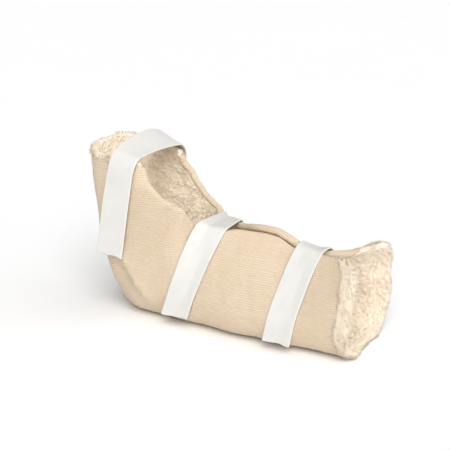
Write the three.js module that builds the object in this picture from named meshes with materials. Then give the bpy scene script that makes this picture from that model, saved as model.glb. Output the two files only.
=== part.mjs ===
// Heel protector: an open L-shaped boot of synthetic sheepskin with three straps.
// Millimetres, +Z up. The leg part lies along X on the floor, the foot part stands up along Z.
import * as THREE from 'three';

// Overall sizes
const LEG = 319;            // heel corner to calf end, along X
const SOLE = 206;           // floor to toe end, along Z
const LEAN = 7;             // degrees the sole leans back from upright
const HEEL_ROUND = 42;      // radius of the heel in the side view
const PIVOT = { x: 127, z: 186 };   // the sections at the ankle fan out about this point
const SETTLE = 3;           // how much the underside is flattened where it rests

// Wall sizes
const KNIT = 2;             // knitted face
const PILE = 7;             // pile inside it
const GAP = 0.5;            // clearance between neighbouring pieces
const PROUD = 2.5;          // how far the pile stands out past the cut edge of the knit

// Strap sizes
const STRAP_WIDE = 33.5;
const STRAP_THICK = 2;
const STRAP_OFF = 1;      // clearance between strap and knit

// Mesh steps
const LEG_ROWS = 12;
const HEEL_ROWS = 9;
const FOOT_ROWS = 12;
const SIDE_COLUMNS = 16;
const STRAP_STEPS = 48;
const BEND = 20;            // extra strap steps where it bends, as millimetres for each radian
const STRAP_ACROSS = 3;
const FINE = 60;            // points in each quarter of a section before it is resampled

// Sections along the spine, from the calf end over the heel to the toe end.
// along: distance on the spine. half: half width of each side. belly: depth of the widest place.
// square: squareness of the back. gap: half gap at the front edge. back: front edge to pivot line.
// crown: fullness of the front, where 1 is round and more is flatter.
const SECTIONS = [
  { along: 0, nearHalf: 62, farHalf: 65, belly: 42, square: 2.6, nearGap: 24, nearBack: 73, farGap: 34, farBack: 66, crown: 1.3 },
  { along: 36, nearHalf: 61, farHalf: 61, belly: 40, square: 2.6, nearGap: 13, nearBack: 74, farGap: 12, farBack: 75, crown: 1.45 },
  { along: 72, nearHalf: 60, farHalf: 60, belly: 39, square: 2.6, nearGap: 10, nearBack: 75, farGap: 5, farBack: 76, crown: 1.6 },
  { along: 110, nearHalf: 60, farHalf: 60, belly: 39, square: 2.6, nearGap: 11, nearBack: 67, farGap: 3, farBack: 61, crown: 1.6 },
  { along: 145, nearHalf: 59, farHalf: 59, belly: 39, square: 2.6, nearGap: 18, nearBack: 65, farGap: 6, farBack: 60, crown: 1.65 },
  { along: 178, nearHalf: 57, farHalf: 57, belly: 40, square: 2.6, nearGap: 24, nearBack: 63, farGap: 18, farBack: 63, crown: 1.65 },
  { along: 211, nearHalf: 55, farHalf: 55, belly: 43, square: 2.6, nearGap: 25, nearBack: 63, farGap: 35, farBack: 66, crown: 1.6 },
  { along: 226, nearHalf: 55, farHalf: 55, belly: 46, square: 2.6, nearGap: 34, nearBack: 55, farGap: 41, farBack: 65, crown: 1.45 },
  { along: 243, nearHalf: 55, farHalf: 55, belly: 49, square: 2.6, nearGap: 42, nearBack: 46, farGap: 46, farBack: 63, crown: 1.3 },
  { along: 262, nearHalf: 56, farHalf: 56, belly: 54, square: 2.7, nearGap: 47, nearBack: 41, farGap: 49, farBack: 62, crown: 1.1 },
  { along: 310, nearHalf: 58, farHalf: 58, belly: 57, square: 2.9, nearGap: 51, nearBack: 41, farGap: 52, farBack: 61, crown: 1 },
  { along: 375, nearHalf: 59, farHalf: 59, belly: 44, square: 3, nearGap: 51, nearBack: 46, farGap: 53, farBack: 61, crown: 1 },
  { along: 445, nearHalf: 59, farHalf: 59, belly: 37, square: 3, nearGap: 51, nearBack: 57, farGap: 53, farBack: 64, crown: 1 },
  { along: 480, nearHalf: 58, farHalf: 59, belly: 35, square: 3, nearGap: 48, nearBack: 64, farGap: 52, farBack: 72, crown: 1 },
  { along: 515, nearHalf: 54, farHalf: 57, belly: 34, square: 3, nearGap: 42, nearBack: 73, farGap: 49, farBack: 80, crown: 1 },
];

// How much shorter the wall is at each end. turn: -1 near front edge, 0 back, 1 far front edge.
const ENDS = [
  { turn: -1, calf: 20, toe: 20 },
  { turn: -0.93, calf: 7, toe: 17 },
  { turn: -0.82, calf: 0, toe: 14 },
  { turn: -0.6, calf: 0, toe: 9 },
  { turn: -0.42, calf: 3, toe: 3 },
  { turn: -0.2, calf: -1, toe: 0 },
  { turn: 0, calf: 1, toe: 0 },
  { turn: 0.3, calf: 0, toe: 0 },
  { turn: 0.6, calf: -2, toe: 11 },
  { turn: 0.85, calf: -6, toe: 21 },
  { turn: 1, calf: 0, toe: 26 },
];

// Dents and folds. long: reach along the spine. wide: reach round the section. deep: inward.
const DENTS = [
  { along: 327, turn: -0.36, long: 13, wide: 0.1, deep: 3.5 },
  { along: 301, turn: -0.5, long: 16, wide: 0.12, deep: -2 },
  { along: 327, turn: 0.36, long: 13, wide: 0.1, deep: 3 },
  { along: 243, turn: -0.3, long: 26, wide: 0.09, deep: 2 },
  { along: 205, turn: -0.55, long: 20, wide: 0.2, deep: 2.5 },
  { along: 205, turn: 0.55, long: 20, wide: 0.2, deep: 2.5 },
  { along: 74, turn: -0.6, long: 20, wide: 0.22, deep: 2 },
  { along: 74, turn: 0.6, long: 20, wide: 0.22, deep: 2 },
  { along: 140, turn: -0.5, long: 26, wide: 0.2, deep: -1.5 },
  { along: 12, turn: -0.45, long: 14, wide: 0.12, deep: 2 },
  { along: 8, turn: 0.8, long: 18, wide: 0.14, deep: -3 },
];

// Straps. start: place of the middle line at the floor. lean: X gained for each Z.
// nearEnd, farEnd: height of the two ends above the floor. nearOut: how far the near end stands off.
// across: the strap crosses the rows of the wall rather than its columns.
const STRAPS = [
  { name: 'toe_strap', start: 4, lean: 0.17, nearEnd: 78, farEnd: 97, nearOut: 1.5, across: true },
  { name: 'ankle_strap', start: 95, lean: 0.33, nearEnd: 15, farEnd: 34, nearOut: 0.8, across: false },
  { name: 'shin_strap', start: 233.2, lean: 0.17, nearEnd: 12, farEnd: 34, nearOut: 0.8, across: false },
];

// The toe strap stands clear of the wall over the foot: its heel-side and shin-side edges there
const CREST = [
  { backY: -63, backZ: 150, foreY: -60, foreZ: 150 },
  { backY: -59, backZ: 186, foreY: -58.5, foreZ: 184 },
  { backY: -51, backZ: 203, foreY: -51, foreZ: 196 },
  { backY: -33, backZ: 209, foreY: -34, foreZ: 197 },
  { backY: -6, backZ: 213, foreY: -8, foreZ: 197 },
  { backY: 22, backZ: 213, foreY: 20, foreZ: 195 },
  { backY: 45, backZ: 207, foreY: 47, foreZ: 191.5 },
  { backY: 58, backZ: 190, foreY: 59, foreZ: 180 },
];

const rad = (deg) => deg * Math.PI / 180;
const mix = (a, b, t) => a + (b - a) * t;

// Smooth reading of a table: the columns at one place along its first column
function read(rows, key, at) {
  const last = rows.length - 1;
  let k = 0;
  while (k < last - 1 && rows[k + 1][key] < at) k += 1;
  const slope = (i, name) => {
    const a = rows[Math.max(i - 1, 0)];
    const b = rows[Math.min(i + 1, last)];
    return (b[name] - a[name]) / (b[key] - a[key]);
  };
  const p = rows[k];
  const q = rows[k + 1];
  const h = q[key] - p[key];
  const t = (at - p[key]) / h;
  const out = {};
  for (const name of Object.keys(p)) {
    if (name === key) continue;
    out[name] = (2 * t ** 3 - 3 * t ** 2 + 1) * p[name] + (t ** 3 - 2 * t ** 2 + t) * h * slope(k, name)
      + (3 * t ** 2 - 2 * t ** 3) * q[name] + (t ** 3 - t ** 2) * h * slope(k + 1, name);
  }
  return out;
}

// Spine: a line on the floor, an arc round the heel and a line up the sole
const TURN = Math.PI / 2 - rad(LEAN);
const TANGENT = HEEL_ROUND * Math.tan(TURN / 2);
const FLOOR_RUN = LEG - TANGENT;
const HEEL_RUN = HEEL_ROUND * TURN;
const SOLE_RUN = SOLE / Math.cos(rad(LEAN)) - TANGENT;
const SPINE = FLOOR_RUN + HEEL_RUN + SOLE_RUN;

function spine(s) {
  if (s <= FLOOR_RUN) return { x: LEG - s, z: 0 };
  if (s <= FLOOR_RUN + HEEL_RUN) {
    const a = (s - FLOOR_RUN) / HEEL_ROUND;
    return { x: TANGENT - HEEL_ROUND * Math.sin(a), z: HEEL_ROUND - HEEL_ROUND * Math.cos(a) };
  }
  const up = s - FLOOR_RUN - HEEL_RUN + TANGENT;
  return { x: -up * Math.sin(rad(LEAN)), z: up * Math.cos(rad(LEAN)) };
}

// Direction of a section, from the spine to the front opening
function aim(s) {
  const p = spine(s);
  const tilt = Math.atan2(PIVOT.x - p.x, PIVOT.z - p.z);
  const a = Math.min(Math.max(tilt, 0), rad(90 - LEAN));
  const d = { x: Math.sin(a), z: Math.cos(a) };
  return { p, d, deep: (PIVOT.x - p.x) * d.x + (PIVOT.z - p.z) * d.z };
}

// One side of a section as evenly spaced (wide, deep) points, from the back to the front edge
function sideCurve(half, belly, square, gap, reach, crown) {
  const pts = [];
  for (let k = 0; k <= FINE; k += 1) {
    const a = k / FINE * Math.PI / 2;
    pts.push([half * Math.sin(a) ** (2 / square), belly * (1 - Math.cos(a) ** (2 / square))]);
  }
  for (let k = 1; k <= FINE; k += 1) {
    const a = k / FINE * Math.PI / 2;
    const c = Math.max(Math.cos(a), 0);
    pts.push([gap + (half - gap) * c ** crown, belly + (reach - belly) * Math.sin(a) ** crown]);
  }
  return pts;
}

function along(pts, fraction) {
  const run = [0];
  for (let k = 1; k < pts.length; k += 1) {
    run.push(run[k - 1] + Math.hypot(pts[k][0] - pts[k - 1][0], pts[k][1] - pts[k - 1][1]));
  }
  const want = fraction * run[run.length - 1];
  let k = 1;
  while (k < run.length - 1 && run[k] < want) k += 1;
  const t = (want - run[k - 1]) / (run[k] - run[k - 1]);
  return [mix(pts[k - 1][0], pts[k][0], t), mix(pts[k - 1][1], pts[k][1], t)];
}

// A point of the outer face. turn: -1 near front edge, 0 back, 1 far front edge.
function plainPoint(s, turn) {
  const c = read(SECTIONS, 'along', s);
  const { p, d, deep } = aim(s);
  const far = turn > 0;
  const half = far ? c.farHalf : c.nearHalf;
  const gap = far ? c.farGap : c.nearGap;
  const reach = deep - (far ? c.farBack : c.nearBack);
  const curve = sideCurve(half, c.belly, c.square, gap, reach, c.crown);
  const [wide, depth] = along(curve, Math.abs(turn));
  return new THREE.Vector3(p.x + depth * d.x, far ? wide : -wide, p.z + depth * d.z);
}

function dent(s, turn) {
  let sum = 0;
  for (const r of DENTS) {
    sum += r.deep * Math.exp(-(((s - r.along) / r.long) ** 2) - ((turn - r.turn) / r.wide) ** 2);
  }
  return sum;
}

function surfacePoint(s, turn) {
  const p = plainPoint(s, turn);
  const push = dent(s, turn);
  if (Math.abs(push) > 1e-3) {
    const e = 0.02;
    const t0 = Math.max(turn - e, -1);
    const t1 = Math.min(turn + e, 1);
    const du = plainPoint(s + 1, turn).sub(plainPoint(s - 1, turn));
    const dv = plainPoint(s, t1).sub(plainPoint(s, t0));
    p.addScaledVector(dv.cross(du).normalize(), push);
  }
  p.z = Math.max(p.z - SETTLE, 0);
  return p;
}

// Rows of the grid: closer together round the heel
function stops() {
  const heel = FLOOR_RUN - 8;
  const foot = FLOOR_RUN + HEEL_RUN + 8;
  const out = [];
  for (let k = 0; k < LEG_ROWS; k += 1) out.push(mix(0, heel, k / LEG_ROWS));
  for (let k = 0; k < HEEL_ROWS; k += 1) out.push(mix(heel, foot, k / HEEL_ROWS));
  for (let k = 0; k <= FOOT_ROWS; k += 1) out.push(mix(foot, SPINE, k / FOOT_ROWS));
  return out;
}

function wallGrid() {
  const grid = [];
  for (const s of stops()) {
    const row = [];
    for (let j = -SIDE_COLUMNS; j <= SIDE_COLUMNS; j += 1) {
      const turn = j / SIDE_COLUMNS;
      const end = read(ENDS, 'turn', turn);
      row.push(surfacePoint(mix(end.calf, SPINE - end.toe, s / SPINE), turn));
    }
    grid.push(row);
  }
  return grid;
}

// Unit normals of a grid, all to one side
function normals(grid) {
  const n = grid.length - 1;
  const m = grid[0].length - 1;
  return grid.map((row, i) => row.map((p, j) => {
    const du = grid[Math.min(i + 1, n)][j].clone().sub(grid[Math.max(i - 1, 0)][j]);
    const dv = grid[i][Math.min(j + 1, m)].clone().sub(grid[i][Math.max(j - 1, 0)]);
    return dv.cross(du).normalize();
  }));
}

function offset(grid, by) {
  const dirs = normals(grid);
  return grid.map((row, i) => row.map((p, j) => p.clone().addScaledVector(dirs[i][j], by)));
}

// The same grid with its four edges moved outward in the sheet
function widen(grid, by) {
  const n = grid.length - 1;
  const m = grid[0].length - 1;
  const out = grid.map((row) => row.map((p) => p.clone()));
  const move = (p, from) => p.addScaledVector(p.clone().sub(from).normalize(), by);
  for (let j = 0; j <= m; j += 1) {
    move(out[0][j], grid[1][j]);
    move(out[n][j], grid[n - 1][j]);
  }
  for (let i = 0; i <= n; i += 1) {
    move(out[i][0], grid[i][1]);
    move(out[i][m], grid[i][m - 1]);
  }
  return out;
}

// A closed solid between two grids of the same size
function solid(name, front, back, colour) {
  const n = front.length;
  const m = front[0].length;
  const pos = [];
  for (const g of [front, back]) for (const row of g) for (const p of row) pos.push(p.x, p.y, p.z);
  const at = (side, i, j) => side * n * m + i * m + j;
  const index = [];
  const quad = (a, b, c, d) => index.push(a, b, c, a, c, d);
  for (let i = 0; i < n - 1; i += 1) {
    for (let j = 0; j < m - 1; j += 1) {
      quad(at(0, i, j), at(0, i + 1, j), at(0, i + 1, j + 1), at(0, i, j + 1));
      quad(at(1, i, j), at(1, i, j + 1), at(1, i + 1, j + 1), at(1, i + 1, j));
    }
  }
  const rim = [];
  for (let j = 0; j < m - 1; j += 1) rim.push([0, j]);
  for (let i = 0; i < n - 1; i += 1) rim.push([i, m - 1]);
  for (let j = m - 1; j > 0; j -= 1) rim.push([n - 1, j]);
  for (let i = n - 1; i > 0; i -= 1) rim.push([i, 0]);
  rim.forEach(([i, j], k) => {
    const [p, q] = rim[(k + 1) % rim.length];
    quad(at(0, i, j), at(0, p, q), at(1, p, q), at(1, i, j));
  });
  const geometry = new THREE.BufferGeometry();
  geometry.setAttribute('position', new THREE.Float32BufferAttribute(pos, 3));
  geometry.setIndex(outward(pos, index));
  geometry.computeVertexNormals();
  const mesh = new THREE.Mesh(geometry, new THREE.MeshStandardMaterial({ color: colour, roughness: 0.9 }));
  mesh.name = name;
  return mesh;
}

function outward(pos, index) {
  let volume = 0;
  const v = (k) => new THREE.Vector3(pos[3 * k], pos[3 * k + 1], pos[3 * k + 2]);
  for (let k = 0; k < index.length; k += 3) {
    volume += v(index[k]).dot(v(index[k + 1]).cross(v(index[k + 2])));
  }
  if (volume > 0) return index;
  const out = [];
  for (let k = 0; k < index.length; k += 3) out.push(index[k], index[k + 2], index[k + 1]);
  return out;
}

// Outline of the wall in a leaning plane X = start + lean Z, as (y, z) points
function outline(grid, start, lean, across) {
  const pts = [];
  const cut = (a, b) => {
    const fa = a.x - lean * a.z - start;
    const fb = b.x - lean * b.z - start;
    if (fa * fb > 0 || fa === fb) return;
    const t = fa / (fa - fb);
    pts.push([mix(a.y, b.y, t), mix(a.z, b.z, t)]);
  };
  grid.forEach((row, i) => row.forEach((p, j) => {
    if (across && j > 0) cut(row[j - 1], p);
    if (!across && i > 0) cut(grid[i - 1][j], p);
  }));
  return pts;
}

// The tight band over those points, from the near end over the top to the far end
function band(pts, row) {
  const out = STRAP_OFF + STRAP_THICK / 2;
  const used = pts.filter((p) => p[1] > (p[0] < 0 ? row.nearEnd : row.farEnd));
  const near = Math.min(...used.map((p) => p[0]));
  const far = Math.max(...used.map((p) => p[0]));
  const all = used.concat([[near - row.nearOut, row.nearEnd], [far + 1.7, row.farEnd]]);
  all.sort((a, b) => a[0] - b[0] || a[1] - b[1]);
  const hull = [];
  const left = (a, b, c) => (b[0] - a[0]) * (c[1] - a[1]) - (b[1] - a[1]) * (c[0] - a[0]);
  for (const p of all) {
    while (hull.length > 1 && left(hull[hull.length - 2], hull[hull.length - 1], p) >= 0) hull.pop();
    hull.push(p);
  }
  const edge = [];
  for (let k = 1; k < hull.length; k += 1) edge.push(Math.atan2(hull[k][1] - hull[k - 1][1], hull[k][0] - hull[k - 1][0]));
  const path = [];
  hull.forEach((p, k) => {
    const from = edge[Math.max(k - 1, 0)];
    const to = edge[Math.min(k, edge.length - 1)];
    const steps = Math.ceil(Math.abs(to - from) / rad(12)) + 1;
    for (let i = 0; i < steps; i += 1) {
      const a = mix(from, to, steps > 1 ? i / (steps - 1) : 0.5);
      path.push([p[0] - Math.sin(a) * out, p[1] + Math.cos(a) * out]);
    }
  });
  return path;
}

// Even steps along a path, closer together where it bends
function spread(path, count) {
  const run = [0];
  let before = null;
  for (let k = 1; k < path.length; k += 1) {
    const dy = path[k][0] - path[k - 1][0];
    const dz = path[k][1] - path[k - 1][1];
    const way = Math.atan2(dz, dy);
    run.push(run[k - 1] + Math.hypot(dy, dz) + (before === null ? 0 : BEND * Math.abs(way - before)));
    before = way;
  }
  const out = [];
  let k = 1;
  for (let i = 0; i <= count; i += 1) {
    const want = i / count * run[run.length - 1];
    while (k < run.length - 1 && run[k] < want) k += 1;
    const t = (want - run[k - 1]) / (run[k] - run[k - 1] || 1);
    out.push([mix(path[k - 1][0], path[k][0], t), mix(path[k - 1][1], path[k][1], t)]);
  }
  return out;
}

function strap(row, grid) {
  const mid = [];
  const stretch = Math.hypot(1, row.lean);
  for (let k = 0; k <= STRAP_ACROSS; k += 1) {
    const t = k / STRAP_ACROSS;
    const start = row.start + (t - 0.5) * STRAP_WIDE * stretch;
    const pts = outline(grid, start, row.lean, row.across);
    if (row.across) CREST.forEach((r) => pts.push([mix(r.backY, r.foreY, t), mix(r.backZ, r.foreZ, t)]));
    const path = band(pts, row);
    mid.push(spread(path, STRAP_STEPS).map(([y, z]) => new THREE.Vector3(start + row.lean * z, y, z)));
  }
  return solid(row.name, offset(mid, STRAP_THICK / 2), offset(mid, -STRAP_THICK / 2), 0xf0efec);
}

const wall = wallGrid();
const pileOuter = widen(offset(wall, KNIT + GAP), PROUD);
const pileInner = widen(offset(wall, KNIT + GAP + PILE), PROUD);
const part = new THREE.Group();
part.name = 'heel_protector';
part.add(solid('knit_shell', wall, offset(wall, KNIT), 0xe4cfb0));
part.add(solid('pile_lining', pileOuter, pileInner, 0xf2e6d2));
for (const row of STRAPS) part.add(strap(row, wall));

// The origin is under the middle of the whole part, on the floor
const box = new THREE.Box3().setFromObject(part);
part.position.set(-(box.min.x + box.max.x) / 2, -(box.min.y + box.max.y) / 2, -box.min.z);

export default part;
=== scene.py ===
"""Heel protector: the looks of the soft boot and its straps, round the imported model.

The tables are those of the part's source, in millimetres. Every object is made in metres.
"""
import math

import bpy
import numpy as np
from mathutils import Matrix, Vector
from mathutils.bvhtree import BVHTree


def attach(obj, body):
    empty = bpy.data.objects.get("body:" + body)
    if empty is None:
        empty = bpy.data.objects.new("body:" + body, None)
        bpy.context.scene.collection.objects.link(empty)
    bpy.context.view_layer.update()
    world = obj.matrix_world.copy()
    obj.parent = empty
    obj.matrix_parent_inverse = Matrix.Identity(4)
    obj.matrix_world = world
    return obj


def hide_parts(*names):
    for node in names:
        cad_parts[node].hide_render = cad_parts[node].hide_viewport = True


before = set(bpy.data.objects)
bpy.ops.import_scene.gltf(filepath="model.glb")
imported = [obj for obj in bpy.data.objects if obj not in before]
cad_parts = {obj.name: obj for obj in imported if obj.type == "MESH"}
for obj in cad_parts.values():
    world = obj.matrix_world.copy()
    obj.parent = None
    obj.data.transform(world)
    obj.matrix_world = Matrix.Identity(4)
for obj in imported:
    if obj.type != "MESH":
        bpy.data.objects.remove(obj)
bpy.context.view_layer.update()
rng = np.random.default_rng(11)

# Millimetres of the part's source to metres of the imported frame
CENTRE = np.array([152.667, -1.180, 0.0])
MM = 0.001

# Shape of the boot
LEG = 319.0
SOLE = 206.0
LEAN = math.radians(7)
HEEL_ROUND = 42.0
PIVOT_X = 127.0
PIVOT_Z = 186.0
SETTLE = 3.0
FINE = 60
STRAP_WIDE = 33.5
STRAP_OFF = 1.0
STRAP_LINES = 4
STRAP_STEPS = 48
BEND = 20.0

# along, near half, far half, belly, square, near gap, near back, far gap, far back, crown
SECTIONS = np.array([
    (0, 62, 65, 42, 2.6, 24, 73, 34, 66, 1.3),
    (36, 61, 61, 40, 2.6, 13, 74, 12, 75, 1.45),
    (72, 60, 60, 39, 2.6, 10, 75, 5, 76, 1.6),
    (110, 60, 60, 39, 2.6, 11, 67, 3, 61, 1.6),
    (145, 59, 59, 39, 2.6, 18, 65, 6, 60, 1.65),
    (178, 57, 57, 40, 2.6, 24, 63, 18, 63, 1.65),
    (211, 55, 55, 43, 2.6, 25, 63, 35, 66, 1.6),
    (226, 55, 55, 46, 2.6, 34, 55, 41, 65, 1.45),
    (243, 55, 55, 49, 2.6, 42, 46, 46, 63, 1.3),
    (262, 56, 56, 54, 2.7, 47, 41, 49, 62, 1.1),
    (310, 58, 58, 57, 2.9, 51, 41, 52, 61, 1),
    (375, 59, 59, 44, 3, 51, 46, 53, 61, 1),
    (445, 59, 59, 37, 3, 51, 57, 53, 64, 1),
    (480, 58, 59, 35, 3, 48, 64, 52, 72, 1),
    (515, 54, 57, 34, 3, 42, 73, 49, 80, 1),
], float)

# turn, calf, toe: how much shorter the wall is at its two ends
ENDS = np.array([
    (-1, 20, 20), (-0.93, 7, 17), (-0.82, 0, 14), (-0.6, 0, 9), (-0.42, 3, 3), (-0.2, -1, 0),
    (0, 1, 0), (0.3, 0, 0), (0.6, -2, 11), (0.85, -6, 21), (1, 0, 26),
], float)

# along, turn, long, wide, deep
DENTS = np.array([
    (327, -0.36, 13, 0.1, 3.5), (301, -0.5, 16, 0.12, -2), (327, 0.36, 13, 0.1, 3),
    (243, -0.3, 26, 0.09, 2), (205, -0.55, 20, 0.2, 2.5), (205, 0.55, 20, 0.2, 2.5),
    (74, -0.6, 20, 0.22, 2), (74, 0.6, 20, 0.22, 2), (140, -0.5, 26, 0.2, -1.5),
    (12, -0.45, 14, 0.12, 2), (8, 0.8, 18, 0.14, -3),
], float)

# along, turn, deep: the crease of the near heel side, and how far the cloth falls in below it
CREASE = np.array([
    (240, -0.30, 0), (262, -0.34, 1.2), (275, -0.382, 3.6), (286, -0.421, 5.4), (299, -0.452, 7.2),
    (312, -0.475, 8.4), (325, -0.483, 9.0), (341, -0.483, 7.8), (360, -0.48, 4.2), (385, -0.48, 0),
], float)

# name, start, lean, near end, far end, near out, across the rows, slant of the near end
STRAPS = [
    ("toe_strap", 4.0, 0.17, 78, 97, 1.5, True, 2.75),
    ("ankle_strap", 95, 0.33, 15, 34, 0.8, False, 0.6),
    ("shin_strap", 233.2, 0.17, 12, 34, 0.8, False, 0.0),
]

# back y, back z, fore y, fore z
CREST = np.array([
    (-63, 150, -60, 150), (-59, 186, -58.5, 184), (-51, 203, -51, 196), (-33, 209, -34, 197),
    (-6, 213, -8, 197), (22, 213, 20, 195), (45, 207, 47, 191.5), (58, 190, 59, 180),
], float)

TURN = math.pi / 2 - LEAN
TANGENT = HEEL_ROUND * math.tan(TURN / 2)
FLOOR_RUN = LEG - TANGENT
HEEL_RUN = HEEL_ROUND * TURN
SPINE = FLOOR_RUN + HEEL_RUN + SOLE / math.cos(LEAN) - TANGENT
GIRTH = 165.0   # usual length of one side of a section, from the back to the front edge


# Wall of the boot
def read(rows, at):
    """Smooth reading of a table at many places along its first column."""
    x, y = rows[:, 0], rows[:, 1:]
    last = len(x) - 1
    k = np.arange(last + 1)
    before, after = np.maximum(k - 1, 0), np.minimum(k + 1, last)
    slope = (y[after] - y[before]) / (x[after] - x[before])[:, None]
    k = np.clip(np.searchsorted(x, at) - 1, 0, last - 1)
    h = (x[k + 1] - x[k])[..., None]
    t = (at - x[k])[..., None] / h
    return ((2 * t**3 - 3 * t**2 + 1) * y[k] + (t**3 - 2 * t**2 + t) * h * slope[k]
            + (3 * t**2 - 2 * t**3) * y[k + 1] + (t**3 - t**2) * h * slope[k + 1])


def spine(s):
    """The back of the boot: along the floor, round the heel and up the sole."""
    a = np.clip((s - FLOOR_RUN) / HEEL_ROUND, 0, TURN)
    up = s - FLOOR_RUN - HEEL_RUN + TANGENT
    on_floor = s <= FLOOR_RUN
    on_heel = s <= FLOOR_RUN + HEEL_RUN
    heel_x, heel_z = TANGENT - HEEL_ROUND * np.sin(a), HEEL_ROUND * (1 - np.cos(a))
    x = np.where(on_floor, LEG - s, np.where(on_heel, heel_x, -up * math.sin(LEAN)))
    z = np.where(on_floor, 0, np.where(on_heel, heel_z, up * math.cos(LEAN)))
    return x, z


def mix(a, b, t):
    return a + (b - a) * t


def length_along(line):
    """Distance of each point of a line, or of each line of a grid, from its start."""
    step = np.linalg.norm(np.diff(line, axis=-2), axis=-1)
    return np.insert(np.cumsum(step, -1), 0, 0, -1)


def section_way(s):
    """Place of a section on the spine, and the direction in which it stands."""
    x, z = spine(s)
    tilt = np.clip(np.arctan2(PIVOT_X - x, PIVOT_Z - z), 0, TURN)
    return x, z, np.sin(tilt), np.cos(tilt)


def plain_row(s, turn):
    """Points of the outer face for two flat arrays of places."""
    x, z, dx, dz = section_way(s)
    deep = (PIVOT_X - x) * dx + (PIVOT_Z - z) * dz
    c = read(SECTIONS, s)[..., None]
    far = turn > 0
    side = far[:, None]
    half, belly, power, crown = np.where(side, c[:, 1], c[:, 0]), c[:, 2], 2 / c[:, 3], c[:, 8]
    gap = np.where(side, c[:, 6], c[:, 4])
    reach = deep[:, None] - np.where(side, c[:, 7], c[:, 5])
    a = np.linspace(0, math.pi / 2, FINE + 1)[None, :]
    sin, cos = np.sin(a), np.clip(np.cos(a), 0, 1)
    wide = np.concatenate([half * sin**power, gap + (half - gap) * cos[:, 1:]**crown], 1)
    down = np.concatenate([belly * (1 - cos**power), belly + (reach - belly) * sin[:, 1:]**crown], 1)
    run = length_along(np.stack([wide, down], -1))
    want = np.abs(turn) * run[:, -1]
    k = np.clip((run < want[:, None]).sum(1), 1, run.shape[1] - 1)
    n = np.arange(len(s))
    t = (want - run[n, k - 1]) / (run[n, k] - run[n, k - 1])
    w = mix(wide[n, k - 1], wide[n, k], t)
    d = mix(down[n, k - 1], down[n, k], t)
    return np.stack([x + d * dx, np.where(far, w, -w), z + d * dz], -1)


def plain(s, turn):
    return np.stack([plain_row(a, b) for a, b in zip(s, turn)])


def unit(v):
    return v / np.maximum(np.linalg.norm(v, axis=-1, keepdims=True), 1e-9)


def ease(x):
    """Smooth step from 0 to 1."""
    x = np.clip(x, 0, 1)
    return x * x * (3 - 2 * x)


def wall(s, turn):
    """The outer face with its dents, for grids of places."""
    p = plain(s, turn)
    push = np.zeros(s.shape)
    for along, at, long, wide, deep in DENTS:
        push += deep * np.exp(-((s - along) / long)**2 - ((turn - at) / wide)**2)
    step, swing = 1.0, 0.02
    du = plain(s + step, turn) - plain(s - step, turn)
    dv = plain(s, np.minimum(turn + swing, 1)) - plain(s, np.maximum(turn - swing, -1))
    p = p + unit(np.cross(dv, du)) * push[..., None]
    p[..., 2] = np.maximum(p[..., 2] - SETTLE, 0)
    return p


def places(rows, turns):
    """Places on the spine for even rows, between the trimmed ends."""
    turn = np.broadcast_to(turns, (len(rows), len(turns)))
    ends = read(ENDS, turn)
    calf, toe = ends[..., 0], SPINE - ends[..., 1]
    return mix(calf, toe, rows[:, None]), turn


def grid_frame(g):
    """Unit vectors of a grid: inward normal, along the rows and across the columns."""
    du = np.gradient(g, axis=0)
    dv = np.gradient(g, axis=1)
    return unit(np.cross(dv, du)), unit(du), unit(dv)


def ripple(x, y, waves, seed):
    """A soft uneven relief from waves of random direction, between about -1 and 1."""
    r = np.random.default_rng(seed)
    out = np.zeros(np.shape(x))
    for length in waves:
        way, start = r.uniform(0, math.tau, 2)
        out += np.sin((x * math.cos(way) + y * math.sin(way)) * math.tau / length + start)
    return out / math.sqrt(len(waves))


# Relief of the soft wall: how far it sinks in, and the two sets of waves
BROAD_WAVES = (96, 83, 71, 64, 58, 52)
SMALL_WAVES = (23, 19, 17, 14, 12, 11)
SINK = 0.35
SINK_BROAD = 0.55
SINK_SMALL = 0.16
SINK_RANGE = (-0.4, 1.8)

# Section across the crease: its round, its reach, the hollow below it and the ridge on it
CREASE_ROUND = 3.0
CREASE_REACH = 24.0
HOLLOW_DEEP = 0.3
HOLLOW_AT = 11.0
HOLLOW_WIDE = 8.0
RIDGE_HIGH = 0.17
RIDGE_WIDE = 5.0
CREASE_STOP = -0.02
CREASE_FADE = 0.2


def soften(s, turn):
    """Unevenness of the soft wall and its heel crease, inward in millimetres."""
    x, y = s, turn * GIRTH
    broad = ripple(x, y, BROAD_WAVES, seed=3)
    small = ripple(x, y, SMALL_WAVES, seed=5)
    soft = np.clip(SINK + SINK_BROAD * broad + SINK_SMALL * small, *SINK_RANGE)
    fold = read(CREASE, np.clip(s, CREASE[0, 0], CREASE[-1, 0]))
    past = (turn - fold[..., 0]) * GIRTH
    ramp = (past + np.sqrt(past**2 + CREASE_ROUND**2)) / 2
    hollow = HOLLOW_DEEP * np.exp(-((past - HOLLOW_AT) / HOLLOW_WIDE)**2)
    ridge = RIDGE_HIGH * np.exp(-(past / RIDGE_WIDE)**2)
    profile = np.tanh(ramp / CREASE_REACH) + hollow - ridge
    return soft + np.maximum(fold[..., 1], 0) * profile * ease((CREASE_STOP - turn) / CREASE_FADE)


def soft_wall(s, turn):
    """The uneven outer face, kept above the floor."""
    p = wall(s, turn)
    p = p + grid_frame(p)[0] * soften(s, turn)[..., None]
    p[..., 2] = np.maximum(p[..., 2], 0)
    return p


def sample(grid, i, j):
    """Even mixture of a grid at fractional rows and columns."""
    n, m = grid.shape[:2]
    i = np.clip(i, 0, n - 1.001)
    j = np.clip(j, 0, m - 1.001)
    a, b = i.astype(int), j.astype(int)
    u, v = (i - a)[..., None], (j - b)[..., None]
    return ((1 - u) * (1 - v) * grid[a, b] + u * (1 - v) * grid[a + 1, b]
            + (1 - u) * v * grid[a, b + 1] + u * v * grid[a + 1, b + 1])


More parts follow.
